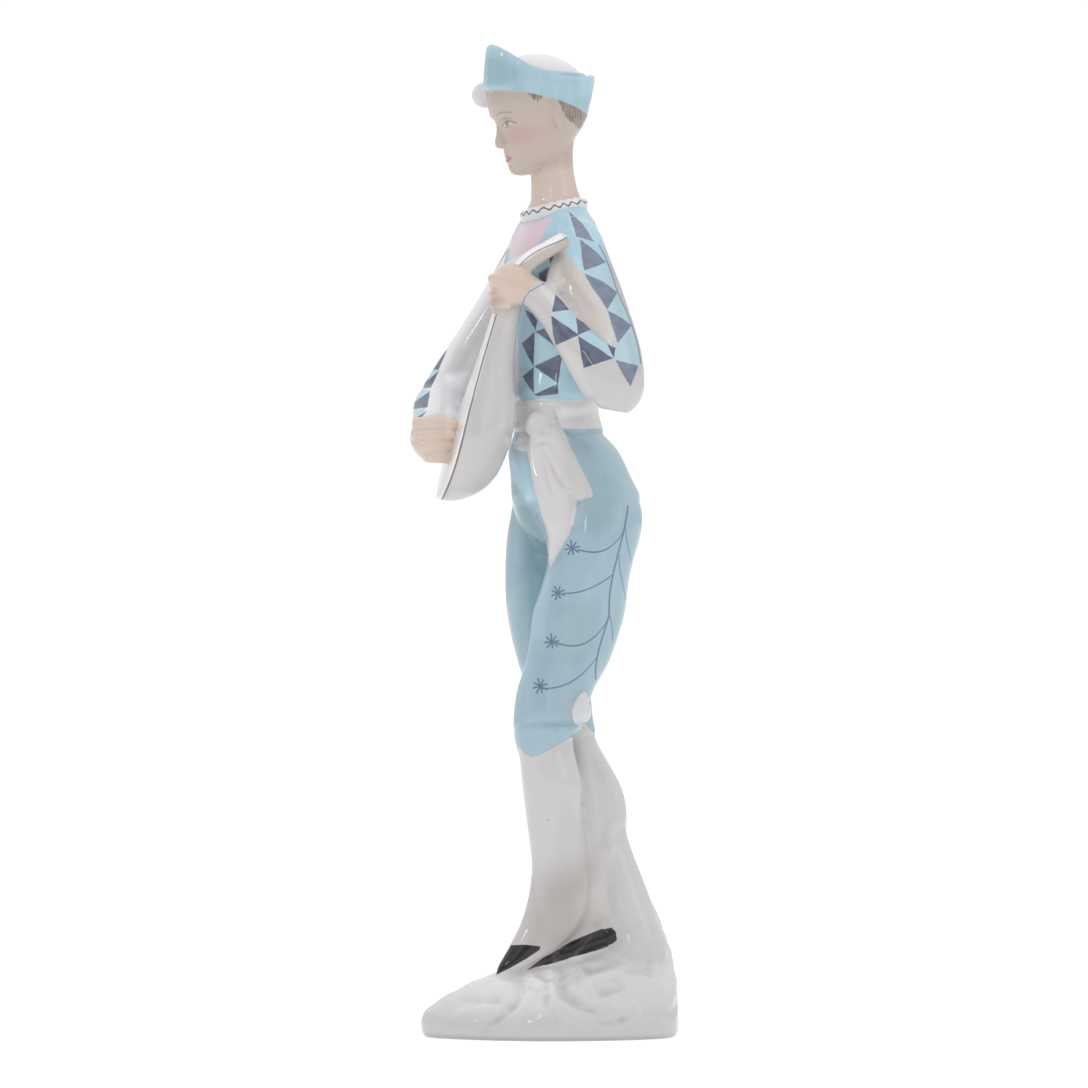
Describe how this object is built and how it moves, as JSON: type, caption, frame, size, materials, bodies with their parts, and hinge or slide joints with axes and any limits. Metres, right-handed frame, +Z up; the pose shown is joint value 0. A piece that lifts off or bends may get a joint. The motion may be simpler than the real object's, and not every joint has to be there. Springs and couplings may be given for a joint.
{
  "type": "porcelain theatre figurine",
  "caption": "Slender glazed porcelain figurine of a commedia dell'arte lute player in a brimmed cap, bowed over the lute on a rocky mound.",
  "frame": {"origin": "middle of the mound's flat underside, where the figure rests", "axes": "+Z up; the mound is longest along X, the player faces -X and is turned a little towards -Y; +X is to the right of the picture"},
  "size_m": [0.0865, 0.0625, 0.3198],
  "materials": {
    "glazed_porcelain": "glossy clear glaze over soft grey-white clay, hand painted in pale blue, slate, pink, flesh and black"
  },
  "bodies": {
    "root": {"porcelain_figure": "glazed_porcelain"}
  },
  "joints": []
}
